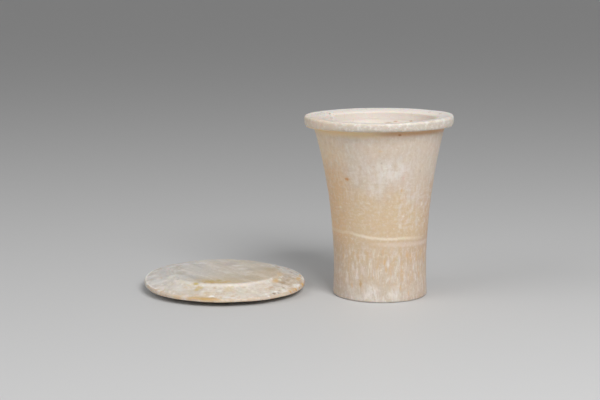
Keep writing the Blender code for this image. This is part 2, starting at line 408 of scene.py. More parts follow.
    def kept(self, *masks):
        """Where all of several masks are: their product."""
        result = masks[0]
        for mask in masks[1:]:
            result = self.sum("MULTIPLY", result, mask)
        return result

    def coat(self, under, colour, mask):
        """The under colour with another laid over it where the mask is."""
        step = self.tree.nodes.new("ShaderNodeMix")
        step.data_type = "RGBA"
        self.put(step.inputs[0], mask)
        self.put(step.inputs[6], under if isinstance(under, bpy.types.NodeSocket) else (*under, 1.0))
        self.put(step.inputs[7], colour if isinstance(colour, bpy.types.NodeSocket) else (*colour, 1.0))
        return step.outputs[2]

    def lay(self, colour, *masks):
        """Lays a colour over the stone's tone, where all the masks are."""
        self.tone = self.coat(self.tone, colour, self.kept(*masks))

    def zones(self, value, stops):
        """A base colour that changes softly along a value, from stop to stop."""
        tone = stops[0][1]
        for (before, _), (after, colour) in zip(stops, stops[1:]):
            tone = self.coat(tone, colour, self.fade(value, before, after))
        return tone

    def layer(self, name):
        """A value painted on the mesh's points."""
        step = self.tree.nodes.new("ShaderNodeAttribute")
        step.attribute_name = name
        return step.outputs["Fac"]

    def polish(self, roughness, height, depth, glow):
        """Joins tone, sheen, fine relief and the stone's slight translucence at its shader."""
        self.put(self.shader.inputs["Base Color"], self.tone)
        self.put(self.shader.inputs["Roughness"], roughness)
        self.shader.inputs["Specular IOR Level"].default_value = 0.4
        self.shader.inputs["Subsurface Weight"].default_value = glow
        self.shader.inputs["Subsurface Radius"].default_value = (1.0, 0.55, 0.30)
        self.shader.inputs["Subsurface Scale"].default_value = 0.003
        relief = self.tree.nodes.new("ShaderNodeBump")
        relief.inputs["Strength"].default_value = 1.0
        relief.inputs["Distance"].default_value = depth
        self.put(relief.inputs["Height"], height)
        self.put(self.shader.inputs["Normal"], relief.outputs["Normal"])


CREAM = (0.625, 0.530, 0.440)
CHALK = (0.760, 0.710, 0.650)
PEARL = (0.660, 0.600, 0.545)
HONEY = (0.640, 0.475, 0.285)
TAN = (0.550, 0.420, 0.300)
AMBER = (0.620, 0.410, 0.215)
RUST = (0.430, 0.200, 0.080)
GRIME_AND_SHADE = (0.210, 0.145, 0.090)

stone = Stone("jar_travertine_stone")
ragged = stone.waver(0.0012, 0.0005)
swayed = stone.waver(0.012, 0.0022)
broad = stone.cloud(0.030, 2.0)
blotch = stone.cloud(0.011, 3.0, 0.6, (3.1, 1.7, 0.4))
patch = stone.cloud(0.0045, 3.0, 0.6, (8.3, 0.0, 2.2))
mottle = stone.cloud(0.0014, 3.0, 0.7, (0.0, 2.0, 9.0))
dapple = stone.cloud(0.0026, 3.0, 0.65, (4.4, 6.0, 1.0))
level = stone.cloud((0.0070, 0.0070, 0.0012), 3.0, 0.6, (0.0, 5.2, 0.0))
stroke = stone.cloud((0.0018, 0.0018, 0.0075), 3.0, 0.6, (2.0, 0.0, 6.0), swayed)
radius = stone.sum("SQRT",
                   stone.sum("MULTIPLY_ADD", stone.x, stone.x, stone.sum("MULTIPLY", stone.y, stone.y)))
side = stone.sum("DIVIDE", stone.x, radius)

# Growth zones up the block: pale and fibrous at the foot, honey in the middle up to a wandering shelf,
# then cream
SHELF = ((-0.050, 0.080), (-0.028, 0.076), (-0.021, 0.068), (-0.012, 0.064), (-0.004, 0.059),
         (0.003, 0.061), (0.010, 0.064), (0.018, 0.056), (0.090, 0.052))
wavy_z = stone.sum("MULTIPLY_ADD", blotch, 0.016, stone.sum("SUBTRACT", stone.z, 0.008))
over_shelf = stone.sum("SUBTRACT", wavy_z, stone.course(stone.x, -0.05, 0.09, SHELF))
stone.tone = stone.zones(wavy_z, (
    (0.000, (0.540, 0.470, 0.400)),
    (0.014, (0.580, 0.475, 0.370)),
    (0.028, (0.590, 0.455, 0.315)),
    (0.041, (0.625, 0.480, 0.320)),
))
stone.lay((0.615, 0.510, 0.410), stone.fade(over_shelf, -0.004, 0.006))
stone.lay(CREAM, stone.fade(stone.z, 0.070, 0.084))

# Painted shade at the flanks: warm amber on the left from the honey up, a paler painted warm glow on the
# left of the neck, darker amber at the right edge, and darker tan low on both sides
left_warm_shade = stone.kept(stone.fade(side, -0.50, -0.97), stone.between(wavy_z, 0.030, 0.092, 0.010, 0.75))
stone.lay((0.760, 0.490, 0.265), left_warm_shade)
left_neck_glow = stone.kept(stone.fade(side, -0.50, -0.95), stone.between(stone.z, 0.080, 0.100, 0.006, 0.55))
stone.lay((0.780, 0.640, 0.460), left_neck_glow)
right_edge_shade = stone.kept(stone.fade(side, 0.66, 0.98), stone.between(wavy_z, 0.018, 0.068, 0.008, 0.70))
stone.lay((0.560, 0.370, 0.240), right_edge_shade)
low_side_shade = stone.kept(stone.fade(stone.sum("ABSOLUTE", stone.sum("ADD", side, 0.15)), 0.40, 0.90),
                       stone.fade(stone.z, 0.042, 0.030, 0.60))
stone.lay((0.530, 0.385, 0.285), low_side_shade)

# A chalky cloud over the middle, and chalk on the hidden side
cloudy = stone.spot((0.004, -0.033, 0.0770), 0.0215, 0.95, (1.0, 1.0, 0.50))
stone.lay((0.740, 0.705, 0.675), cloudy, stone.fade(patch, 0.20, 0.64, 0.80))
below_cloud = stone.spot((-0.005, -0.030, 0.0680), 0.0100, 0.9, (0.9, 1.0, 0.9))
stone.lay(CHALK, below_cloud, stone.fade(dapple, 0.30, 0.64, 0.45))
stone.lay(CHALK, stone.fade(broad, 0.55, 0.72, 0.6), stone.fade(stone.y, -0.01, 0.01))

# Mottling everywhere: level lines in the honey and the cloud, faint upright strokes elsewhere
stone.lay(PEARL, stone.fade(dapple, 0.50, 0.70, 0.40))
stone.lay(TAN, stone.fade(dapple, 0.48, 0.30, 0.32))
lined = stone.between(stone.z, 0.043, 0.080, 0.004)
stone.lay(CHALK, stone.fade(level, 0.52, 0.70, 0.24), lined)
stone.lay(HONEY, stone.fade(level, 0.48, 0.30, 0.42), stone.between(stone.z, 0.041, 0.066, 0.004))
upright = stone.fade(stone.z, 0.046, 0.062)
stone.lay(CHALK, stone.fade(stroke, 0.50, 0.70, 0.30), upright)
stone.lay(TAN, stone.fade(stroke, 0.48, 0.30, 0.32), upright)

# Pale curds right of the middle, over the honey
curdled = stone.kept(stone.between(stone.z, 0.041, 0.070, 0.004), stone.fade(stone.x, 0.002, 0.012))
stone.lay((0.700, 0.630, 0.590), curdled, stone.fade(dapple, 0.44, 0.66, 0.40))
stone.lay((0.640, 0.440, 0.280), curdled, stone.fade(stroke, 0.50, 0.32, 0.40))

# Upright crystal fibres below the vein: sheaves that fan out downwards and whiten towards the foot
lean = stone.sum("MULTIPLY_ADD", stone.cloud((0.0060, 0.0060, 0.05), 1.0, 0.5, (1.6, 0.0, 0.0)), 1.1, -0.55)
fanned = stone.sum("MULTIPLY_ADD", lean, stone.sum("SUBTRACT", stone.z, 0.031), stone.x)
leaning = stone.at(fanned, stone.y, stone.z)
fibre = stone.cloud((0.0011, 0.0011, 0.0062), 3.0, 0.65, (0.0, 0.0, 0.0), leaning)
clump = stone.cloud((0.0042, 0.0042, 0.0075), 3.0, 0.6, (5.0, 3.0, 0.0), leaning)
warm_fibre = stone.cloud((0.0019, 0.0019, 0.0080), 3.0, 0.6, (7.7, 0.0, 0.0), leaning)
fibrous = stone.fade(stone.sum("MULTIPLY_ADD", fibre, 0.016, stone.z), 0.044, 0.036)
warm_low = stone.fade(stone.z, 0.004, 0.016)
stone.lay((0.640, 0.430, 0.240), stone.fade(warm_fibre, 0.46, 0.66, 0.50), fibrous, warm_low)
clumped = stone.kept(fibrous, stone.fade(stone.z, 0.039, 0.029))
stone.lay(PEARL, stone.fade(clump, 0.48, 0.66, 0.45), clumped)
stone.lay((0.610, 0.455, 0.280), stone.fade(clump, 0.46, 0.30, 0.42), clumped, warm_low)
stone.lay(TAN, stone.fade(fibre, 0.48, 0.30, 0.45), fibrous)
pale_fibre = stone.kept(stone.fade(fibre, 0.50, 0.68, 0.62), stone.fade(clump, 0.34, 0.56), clumped)
stone.lay(CHALK, pale_fibre)
middle = stone.fade(stone.sum("ABSOLUTE", side), 0.80, 0.45)
whitened = stone.kept(stone.fade(stone.z, 0.013, 0.003), stone.fade(patch, 0.40, 0.60, 0.34), middle)
stone.lay(CHALK, whitened)
for place, reach in (((-0.0060, -0.0266, 0.0056), 0.0060), ((0.0073, -0.0261, 0.0062), 0.0045)):
    white_foot = stone.kept(stone.spot(place, reach, 0.8, (0.7, 1.0, 1.2), swayed),
                            stone.fade(fibre, 0.30, 0.56, 0.85))
    stone.lay((0.760, 0.725, 0.685), white_foot)

# The wavy white vein, and a fainter pink-white band under its right part
VEIN = ((-0.040, 0.0392), (-0.0234, 0.0393), (-0.0184, 0.0396), (-0.0145, 0.0388), (-0.0072, 0.0377),
        (0.0024, 0.0371), (0.0129, 0.0371), (0.0202, 0.0363), (0.040, 0.0350))
vein_height = stone.sum("MULTIPLY_ADD", stone.cloud(0.004, 2.0), 0.0006,
                        stone.course(stone.x, -0.05, 0.05, VEIN))
off_vein = stone.sum("ABSOLUTE", stone.sum("SUBTRACT", stone.z, vein_height))
thick = stone.kept(stone.fade(stone.x, -0.020, -0.010), stone.fade(stone.x, 0.020, 0.006))
vein_halo = stone.kept(stone.fade(off_vein, 0.0016, 0.0002, 0.50), stone.fade(stone.x, 0.027, 0.018))
stone.lay((0.740, 0.630, 0.490), vein_halo)
stone.lay((0.800, 0.730, 0.620), stone.fade(off_vein, 0.0011, 0.0002, 0.56), thick)
off_band = stone.sum("ABSOLUTE",
                     stone.sum("MULTIPLY_ADD", stone.x, 0.045, stone.sum("SUBTRACT", stone.z, 0.0341)))
band = stone.kept(stone.fade(off_band, 0.0019, 0.0003, 0.46), stone.fade(stone.x, -0.008, 0.001))
stone.lay((0.720, 0.610, 0.540), band, stone.fade(patch, 0.24, 0.44))

# Fine salt of white and brown, pale crumbs over the honey, and rust flecks
stone.lay(CHALK, stone.fade(mottle, 0.53, 0.70, 0.36))
stone.lay(TAN, stone.fade(mottle, 0.46, 0.28, 0.42))
crumbs = stone.kept(stone.between(stone.z, 0.040, 0.062, 0.006), stone.fade(stone.x, -0.024, 0.010, 0.80))
stone.lay(CHALK, stone.specks(0.0036, 0.0010, 0.35, place=ragged), crumbs)
flecks = stone.kept(stone.specks(0.0150, 0.0011, 0.70, (2.0, 8.0, 1.0), ragged),
                    stone.fade(stone.z, 0.02, 0.04, 0.5))
stone.lay(RUST, flecks)

# The rolled rim is chalkier, palest along its crest with a painted highlight along the back of the crest,
# and worn grey-brown in patches
rim_zone = stone.fade(stone.z, 0.0990, 0.0998)
crest = stone.fade(stone.z, 0.1038, 0.1049)
stone.lay((0.575, 0.520, 0.450), rim_zone, 0.90)
stone.lay((0.700, 0.655, 0.600), crest, 0.70)
warm_end = stone.kept(rim_zone, stone.fade(stone.x, -0.016, -0.036, 0.55))
stone.lay((0.740, 0.600, 0.460), warm_end)
# Painted highlight: the back of the crest, much whiter
stone.lay((0.920, 0.890, 0.850), crest, stone.fade(stone.y, -0.020, 0.020),
          stone.fade(dapple, 0.26, 0.50, 0.85))
stone.lay((0.790, 0.760, 0.715), rim_zone, stone.fade(dapple, 0.46, 0.70, 0.60))
stone.lay((0.500, 0.430, 0.350), rim_zone, stone.fade(patch, 0.46, 0.30, 0.42))
stone.lay(CHALK, rim_zone, stone.fade(mottle, 0.52, 0.70, 0.30))
stone.lay(TAN, rim_zone, stone.fade(mottle, 0.46, 0.30, 0.20))

# The bore is fresher and smoother, with a few rust stains; its right side is painted lighter, as painted
# light where it lies in shade
inside = stone.layer("hollow")
stone.lay((0.760, 0.700, 0.640), inside, 0.88)
# Painted light: the right side of the bore, lighter where the bore is shaded
bore_painted_light = stone.kept(inside, stone.fade(stone.x, 0.010, 0.030, 0.35))
stone.lay((0.930, 0.850, 0.760), bore_painted_light)
stone.lay((0.660, 0.500, 0.340), inside, stone.fade(stroke, 0.58, 0.74, 0.40))
stone.lay((0.640, 0.470, 0.310), inside, stone.fade(dapple, 0.62, 0.74, 0.45))

# Under the rim: yellow stone on the left, painted lighter as a warm painted glow in the shade there, and
# brown dirt with painted shade on the right
outside = stone.sum("SUBTRACT", 1.0, inside)
under_rim_glow_and_shade = stone.kept(stone.fade(stone.z, 0.0945, 0.0985), stone.fade(stone.z, 0.1002, 0.0994), outside)
stone.lay((0.860, 0.665, 0.390), under_rim_glow_and_shade, stone.fade(stone.x, 0.006, -0.010, 0.85))
# Brown dirt with painted shade under the right of the rim
tucked_dirt_and_shade = stone.kept(under_rim_glow_and_shade, stone.fade(stone.x, -0.010, 0.006), stone.fade(stone.z, 0.0955, 0.0985, 0.75))
stone.lay((0.690, 0.400, 0.190), tucked_dirt_and_shade)

# Single marks: centre, reach, stretch along each axis, colour and strength
SLIVER = (0.32, 0.60, 1.00)
WHITE_STROKE = ((0.34, 0.60, 1.00), (0.72, 0.67, 0.63), 0.48)
marks = (
    ((-0.0207, -0.0247, 0.0715), 0.0016, (1.3, 1.3, 0.8), (0.560, 0.270, 0.100), 0.95),
    ((0.0100, -0.0288, 0.0656), 0.0016, (0.5, 0.5, 1.5), AMBER, 0.80),
    ((0.0080, -0.0361, 0.0979), 0.0012, (1.2, 1.2, 0.8), RUST, 0.85),
    ((0.0109, -0.0297, 0.0726), 0.0018, (0.7, 0.7, 1.4), (0.640, 0.450, 0.380), 0.60),
    ((-0.0234, -0.0280, 0.0895), 0.0024, (0.2, 0.3, 1.1), AMBER, 0.60),
    ((-0.0025, -0.0350, 0.0886), 0.0024, (0.9, 0.9, 0.4), HONEY, 0.60),
    ((-0.0017, -0.0336, 0.0817), 0.0009, (1.0, 1.0, 1.0), GRIME_AND_SHADE, 0.25),
    ((0.0206, -0.0246, 0.0761), 0.0011, (0.7, 0.7, 1.5), GRIME_AND_SHADE, 0.35),
    ((0.0006, -0.0330, 0.0787), 0.0012, (1.4, 1.4, 0.7), CHALK, 0.70),
    ((-0.0241, -0.0175, 0.0542), 0.0012, (1.2, 1.2, 0.8), CHALK, 0.60),
    ((0.0112, -0.0263, 0.0503), 0.0012, (1.0, 1.0, 1.0), CHALK, 0.60),
    ((0.0095, -0.0265, 0.0447), 0.0020, (0.8, 0.8, 1.1), CHALK, 0.55),
    ((0.0222, -0.0188, 0.0562), 0.0016, (1.0, 1.0, 1.2), CHALK, 0.55),
    ((0.0192, -0.0205, 0.0470), 0.0030, (0.6, 0.6, 1.4), PEARL, 0.55),
    ((-0.0186, -0.0202, 0.0284), 0.0036, *WHITE_STROKE),
    ((-0.0157, -0.0223, 0.0260), 0.0030, *WHITE_STROKE),
    ((-0.0106, -0.0250, 0.0263), 0.0030, *WHITE_STROKE),
    ((-0.0168, -0.0213, 0.0199), 0.0036, *WHITE_STROKE),
    ((-0.0147, -0.0228, 0.0141), 0.0030, *WHITE_STROKE),
    ((0.0054, -0.0264, 0.0266), 0.0030, *WHITE_STROKE),
    ((0.0092, -0.0253, 0.0263), 0.0036, *WHITE_STROKE),
    ((0.0178, -0.0201, 0.0197), 0.0030, *WHITE_STROKE),
    ((0.0192, -0.0188, 0.0138), 0.0030, *WHITE_STROKE),
    ((0.0028, -0.0268, 0.0230), 0.0036, *WHITE_STROKE),
    ((-0.0126, -0.0240, 0.0106), 0.0034, SLIVER, (0.500, 0.330, 0.160), 0.85),
    ((-0.0173, -0.0210, 0.0087), 0.0026, SLIVER, AMBER, 0.65),
    ((0.0017, -0.0268, 0.0199), 0.0032, SLIVER, AMBER, 0.70),
    ((0.0009, -0.0269, 0.0238), 0.0030, SLIVER, AMBER, 0.70),
    ((0.0139, -0.0231, 0.0277), 0.0034, SLIVER, AMBER, 0.60),
    ((0.0103, -0.0249, 0.0084), 0.0026, SLIVER, AMBER, 0.60),
    ((0.0151, -0.0226, 0.0047), 0.0022, SLIVER, AMBER, 0.60),
    ((0.0247, -0.0107, 0.0227), 0.0036, SLIVER, AMBER, 0.50),
    ((0.0058, 0.0317, 0.0969), 0.0018, (1.8, 1.0, 0.7), (0.440, 0.290, 0.180), 0.60),
    ((0.0101, 0.0307, 0.0981), 0.0013, (1.9, 1.0, 0.5), (0.500, 0.330, 0.190), 0.60),
    ((0.0191, 0.0259, 0.0989), 0.0014, (1.8, 1.0, 0.6), (0.540, 0.370, 0.220), 0.60),
    ((-0.0170, 0.0290, 0.0965), 0.0014, (1.8, 1.0, 0.6), (0.480, 0.360, 0.240), 0.60),
)
for centre, reach, stretch, colour, strength in marks:
    mark = stone.spot(centre, reach, 0.8, stretch, ragged)
    stone.lay(colour, mark, strength)
# Dirt in the chips; at the front of the mouth their dark is also a painted shade line along the inner edge
stone.lay(GRIME_AND_SHADE, stone.layer("chipped"), 0.55)

relief = stone.sum("MULTIPLY", stone.cloud(0.0009, 3.0, 0.6), 0.5)
relief = stone.sum("MULTIPLY_ADD", stone.cloud((0.010, 0.010, 0.0007), 2.0), 0.25, relief)
relief = stone.sum("MULTIPLY_ADD", stone.specks(0.0045, 0.0007, 0.40, (5.0, 5.0, 5.0)), -0.8, relief)
relief = stone.sum("MULTIPLY_ADD", stone.kept(rim_zone, patch), 1.2, relief)
sheen = stone.sum("MULTIPLY_ADD", mottle, 0.20, 0.38)
stone.polish(roughness=sheen, height=relief, depth=0.00015, glow=0.5)

jar = finished(jar_solid, "stone_jar", stone.material)
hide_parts("jar")

# Lid
# A loose disc of the same travertine, domed outside, with a raised round plug that drops into the mouth.
# It was ground by hand, and nothing fastens it. It lies upside down beside the jar on its domed face,
# with the plug up.
LID_X = -0.0927
LID_Y = 0.0099
LID_RADIUS = 0.0479
LID_DOME_RISE = 0.0036
LID_REST_RADIUS = 0.0070
LID_EDGE_BELOW = 0.0009
LID_EDGE_ABOVE = 0.0019
LID_EDGE_ROUNDING = 0.0007
LID_EDGE_HEIGHT = LID_DOME_RISE + LID_EDGE_BELOW + LID_EDGE_ABOVE
FLANGE_FALL = 0.0028
PLUG_RADIUS = 0.0330
PLUG_HEIGHT = 0.0015
PLUG_ROUNDING = 0.0007
PLUG_EDGE_BREAK = 50
PLUG_SIDE_SPREAD = 0.0034
PLUG_SIDE_POWER = 1.5
LID_SLOPE_X = -0.0090
LID_SLOPE_Y = 0.0315
PLUG_SLOPE_X = -0.0040
PLUG_SLOPE_Y = 0.0170
LID_OUT_OF_ROUND = 0.0010
LID_LOBES = ((2, 1.0, 3.2), (3, 0.50, 2.0))
WORN_STRETCH = math.radians(130)
WORN_DEPTH = 0.0032
WORN_CORNER = 0.008
WORN_FROM = 0.8
ARRIS_WIDTH = 0.0011

PLUG_STEP = 0.0009
ROUNDING_STEP = 0.00015
FLANGE_STEP = 0.0006
EDGE_STEP = 0.0002
NOSE_STEP = 0.0003
DOME_STEP = 0.0012

foot_height = LID_EDGE_HEIGHT + FLANGE_FALL
plug_top = foot_height + PLUG_HEIGHT
edge_centre = (LID_RADIUS - LID_EDGE_ROUNDING, LID_DOME_RISE + LID_EDGE_BELOW)
lid_section = [(0.0, plug_top)]
lid_section += [(out, plug_top) for out in run(0.0, PLUG_RADIUS - PLUG_ROUNDING, PLUG_STEP)]
lid_section += arc((PLUG_RADIUS - PLUG_ROUNDING, plug_top - PLUG_ROUNDING), PLUG_ROUNDING, PLUG_ROUNDING,
                   90, PLUG_EDGE_BREAK, ROUNDING_STEP)
side_radius, side_height = lid_section[-1]
foot_radius = PLUG_RADIUS + PLUG_SIDE_SPREAD
for out in run(side_radius, foot_radius, RIM_STEP):
    left = (foot_radius - out) / (foot_radius - side_radius)
    lid_section.append((out, foot_height + (side_height - foot_height) * left ** PLUG_SIDE_POWER))
for out in run(foot_radius, edge_centre[0], FLANGE_STEP):
    fallen = (out - foot_radius) / (edge_centre[0] - foot_radius)
    lid_section.append((out, foot_height - FLANGE_FALL * fallen))
lid_section += arc(edge_centre, LID_EDGE_ROUNDING, LID_EDGE_ABOVE, 90, 0, EDGE_STEP)
lid_section += arc(edge_centre, LID_EDGE_ROUNDING, LID_EDGE_BELOW, 0, -90, NOSE_STEP)[1:]
for out in reversed(run(LID_REST_RADIUS, edge_centre[0], DOME_STEP)):
    share = (out - LID_REST_RADIUS) / (edge_centre[0] - LID_REST_RADIUS)
    lid_section.append((out, LID_DOME_RISE * share ** 2))
lid_section += [(LID_REST_RADIUS, 0.0), (0.0, 0.0)]


def lid_hand_work(point):
    """The wandering outline, the stretch of it worn flat, and the slope of the upper side."""
    x, y, z = point
    angle = math.atan2(y, x)
    out = math.hypot(x, y) / LID_RADIUS
    wander = sum(share * math.sin(lobes * angle + phase) for lobes, share, phase in LID_LOBES)
    scale = 1.0 + LID_OUT_OF_ROUND / LID_RADIUS * wander * out ** 2
    flat_reach = 1.0 - WORN_DEPTH / LID_RADIUS
    reach = out * math.cos(angle - WORN_STRETCH)
    if reach > WORN_FROM:
        worn_off = WORN_CORNER * math.log(1.0 + math.exp((flat_reach - reach) / WORN_CORNER))
        scale *= (flat_reach - worn_off) / reach
    level = min(z / LID_EDGE_HEIGHT, 1.0)
    flange = min(max((math.hypot(x, y) - PLUG_RADIUS) / PLUG_SIDE_SPREAD, 0.0), 1.0)
    slope_x = PLUG_SLOPE_X + (LID_SLOPE_X - PLUG_SLOPE_X) * flange
    slope_y = PLUG_SLOPE_Y + (LID_SLOPE_Y - PLUG_SLOPE_Y) * flange
    return Vector((x * scale, y * scale, z + level * (slope_x * x + slope_y * y)))


lid_solid = turned(lid_section)
lid_chipped = lid_solid.verts.layers.float.new("chipped")
arris = lid_solid.verts.layers.float.new("arris")
nose = lid_solid.verts.layers.float.new("nose")
for corner in lid_solid.verts:
    past_flange = math.hypot(corner.co.x, corner.co.y) - edge_centre[0]
    corner[arris] = max(1.0 - math.hypot(past_flange, corner.co.z - LID_EDGE_HEIGHT) / ARRIS_WIDTH, 0.0)
    if past_flange > 0.0001:
        corner[nose] = 1.0
    corner.co = lid_hand_work(corner.co) + Vector((LID_X, LID_Y, 0.0))
worn_surface(lid_solid, waviness=0.00028, ripple=0.0, grain=0.00005, seed=0.7)

# Pits and flakes in the flange and along the plug's edge: place, reach of the bite, and dirt held
flakes = (
    ((-0.0622, -0.0255, 0.0056), 0.0011, 0.9), ((-0.0596, -0.0238, 0.0055), 0.0009, 0.8),
    ((-0.0636, -0.0277, 0.0053), 0.0008, 0.6), ((-0.0460, 0.0170, 0.0068), 0.0015, 0.1),
    ((-0.0980, -0.0193, 0.0103), 0.0010, 0.3), ((-0.1021, -0.0185, 0.0103), 0.0009, 0.3),
    ((-0.0820, 0.0412, 0.0120), 0.0012, 0.3), ((-0.1120, 0.0362, 0.0119), 0.0011, 0.3),
    ((-0.0640, 0.0265, 0.0112), 0.0010, 0.3), ((-0.1184, -0.0101, 0.0105), 0.0008, 0.3),
)
lid_corners = [corner for corner in lid_solid.verts if corner.co.z > LID_DOME_RISE]
for place, reach, darkening in flakes:
    bite(lid_corners, Vector(place), reach, lid_chipped, darkening)

SLATE = (0.400, 0.375, 0.345)
OCHRE = (0.580, 0.425, 0.195)
BROWN = (0.420, 0.320, 0.215)

stone = Stone("lid_travertine_stone")
x, y, z = stone.x, stone.y, stone.z
ragged = stone.waver(0.0024, 0.0010)
broad = stone.cloud(0.028, 3.0, 0.6, (1.3, 0.2, 0.0))
blotch = stone.cloud(0.009, 3.0, 0.6, (0.3, 4.2, 0.0))
patch = stone.cloud(0.0042, 3.0, 0.65, (2.3, 0.2, 5.0))
mottle = stone.cloud(0.0017, 3.0, 0.7)
from_x = stone.sum("SUBTRACT", x, LID_X)
from_y = stone.sum("SUBTRACT", y, LID_Y)
out_square = stone.sum("MULTIPLY_ADD", from_x, from_x, stone.sum("MULTIPLY", from_y, from_y))
out = stone.sum("SQRT", out_square)
plateau = stone.fade(out, PLUG_RADIUS + 0.0004, PLUG_RADIUS - 0.0008)
front = stone.fade(y, 0.000, -0.012)

# Slanting streaks across the plug's top, and fine rings left by the turning at its left side
along = stone.sum("MULTIPLY_ADD", x, 0.62, stone.sum("MULTIPLY", y, -0.78))
across = stone.sum("MULTIPLY_ADD", x, 0.78, stone.sum("MULTIPLY", y, 0.62))
streak = stone.cloud((0.022, 0.0042, 0.010), 3.0, 0.6, (0.0, 0.5, 0.3), stone.at(along, across, z))
ring = stone.cloud((0.0016, 1.0, 1.0), 2.0, 0.6, (0.4, 0.0, 0.0), stone.at(out, 0.0, 0.0))

# The flange is pale and mottled, greyer to the left and at the back; the plug's top is a duller grey-tan
stone.tone = (0.625, 0.560, 0.480)
stone.lay((0.590, 0.535, 0.460), stone.fade(x, -0.098, -0.112))
stone.lay((0.580, 0.555, 0.525), stone.fade(x, -0.112, -0.128), stone.fade(y, -0.018, -0.006))
stone.lay((0.575, 0.540, 0.500), stone.fade(y, 0.004, 0.016, 0.9))
whiter = stone.kept(stone.fade(x, -0.078, -0.062, 0.80), stone.fade(y, 0.014, 0.024))
stone.lay((0.700, 0.665, 0.625), whiter)
brown_side = stone.kept(stone.fade(x, -0.068, -0.058, 0.75), stone.between(y, -0.012, 0.012, 0.005))
stone.lay((0.520, 0.425, 0.320), brown_side)
stone.lay(CHALK, front, stone.fade(blotch, 0.42, 0.62, 0.40))
stone.lay((0.555, 0.500, 0.425), plateau, 0.95)
stone.lay((0.555, 0.535, 0.505), plateau, stone.fade(x, -0.090, -0.112, 0.8))
tan_side = stone.kept(plateau, stone.fade(x, -0.088, -0.072, 0.75), stone.fade(y, 0.018, 0.006))
stone.lay((0.530, 0.425, 0.310), tan_side)
tan_front = stone.kept(plateau, stone.fade(y, 0.000, -0.014, 0.65), stone.fade(x, -0.116, -0.104))
stone.lay((0.550, 0.440, 0.290), tan_front)

stone.lay((0.720, 0.675, 0.620), plateau, stone.fade(streak, 0.50, 0.68, 0.40))
stone.lay(SLATE, plateau, stone.fade(streak, 0.48, 0.30, 0.45))
ringed = stone.kept(stone.between(out, 0.0265, 0.0350, 0.0015), stone.fade(x, -0.108, -0.120))
stone.lay(SLATE, ringed, stone.fade(ring, 0.50, 0.36, 0.35))
stone.lay((0.740, 0.710, 0.680), ringed, stone.fade(ring, 0.50, 0.64, 0.30))

# Mottling, in larger patches on the flange
off_plug = stone.sum("SUBTRACT", 1.0, plateau)
stone.lay(CHALK, off_plug, stone.fade(patch, 0.52, 0.66, 0.75))
stone.lay(TAN, off_plug, stone.fade(patch, 0.46, 0.32, 0.65))
ochre_blotch = stone.kept(stone.fade(blotch, 0.52, 0.68, 0.50), stone.fade(broad, 0.42, 0.58), front)
stone.lay(OCHRE, ochre_blotch)
stone.lay(CHALK, stone.fade(mottle, 0.52, 0.70, 0.50))
stone.lay(BROWN, stone.fade(mottle, 0.46, 0.26, 0.40))
left_side = stone.fade(x, -0.110, -0.122)
stone.lay((0.700, 0.680, 0.660), left_side, stone.fade(blotch, 0.48, 0.66, 0.70))
stone.lay((0.470, 0.435, 0.405), left_side, stone.fade(blotch, 0.46, 0.30, 0.60))
right_side = stone.kept(off_plug, stone.fade(x, -0.068, -0.058))
stone.lay((0.740, 0.700, 0.650), right_side, stone.fade(patch, 0.50, 0.62, 0.65))
stone.lay((0.400, 0.310, 0.220), right_side, stone.fade(patch, 0.46, 0.34, 0.60))

# A painted highlight as a pale band in the angle at the plug's foot, and yellow dirt just inside the plug's
# front edge
nearer_y = stone.sum("MULTIPLY", from_y, 1.10)
band_square = stone.sum("MULTIPLY_ADD", from_x, from_x, stone.sum("MULTIPLY", nearer_y, nearer_y))
band_out = stone.sum("MULTIPLY_ADD", patch, -0.0016, stone.sum("SQRT", band_square))
band_top = stone.fade(band_out, PLUG_RADIUS - 0.0020, PLUG_RADIUS - 0.0004)
crease_highlight = stone.kept(band_top, stone.fade(out, PLUG_RADIUS + 0.0022, PLUG_RADIUS + 0.0004), front)
band_run = stone.sum("MULTIPLY_ADD", stone.between(x, -0.096, -0.074, 0.009), 0.26, 0.27)
band_run = stone.kept(band_run, stone.between(x, -0.118, -0.066, 0.006))
dirty = stone.kept(stone.between(out, PLUG_RADIUS - 0.0095, PLUG_RADIUS - 0.0016, 0.0014), front)
middle = stone.between(x, -0.104, -0.085, 0.006)
stone.lay((0.560, 0.400, 0.180), dirty, middle, stone.fade(patch, 0.34, 0.56, 0.80))
# Painted highlight: the pale crease band at the front of the plug
stone.lay((0.800, 0.765, 0.715), crease_highlight, band_run)

# The worn arris is painted pale at the left and the back, partly wear and partly a painted highlight; below
# it the edge is stained brown
arris_highlight_side = stone.sum("MAXIMUM", stone.fade(y, 0.002, 0.014), stone.fade(x, -0.122, -0.134, 0.45))
stone.lay((0.860, 0.845, 0.820), stone.layer("arris"), arris_highlight_side)
nose_stain = stone.kept(stone.layer("nose"), stone.fade(patch, 0.36, 0.60, 0.75))
stone.lay((0.540, 0.420, 0.300), nose_stain)

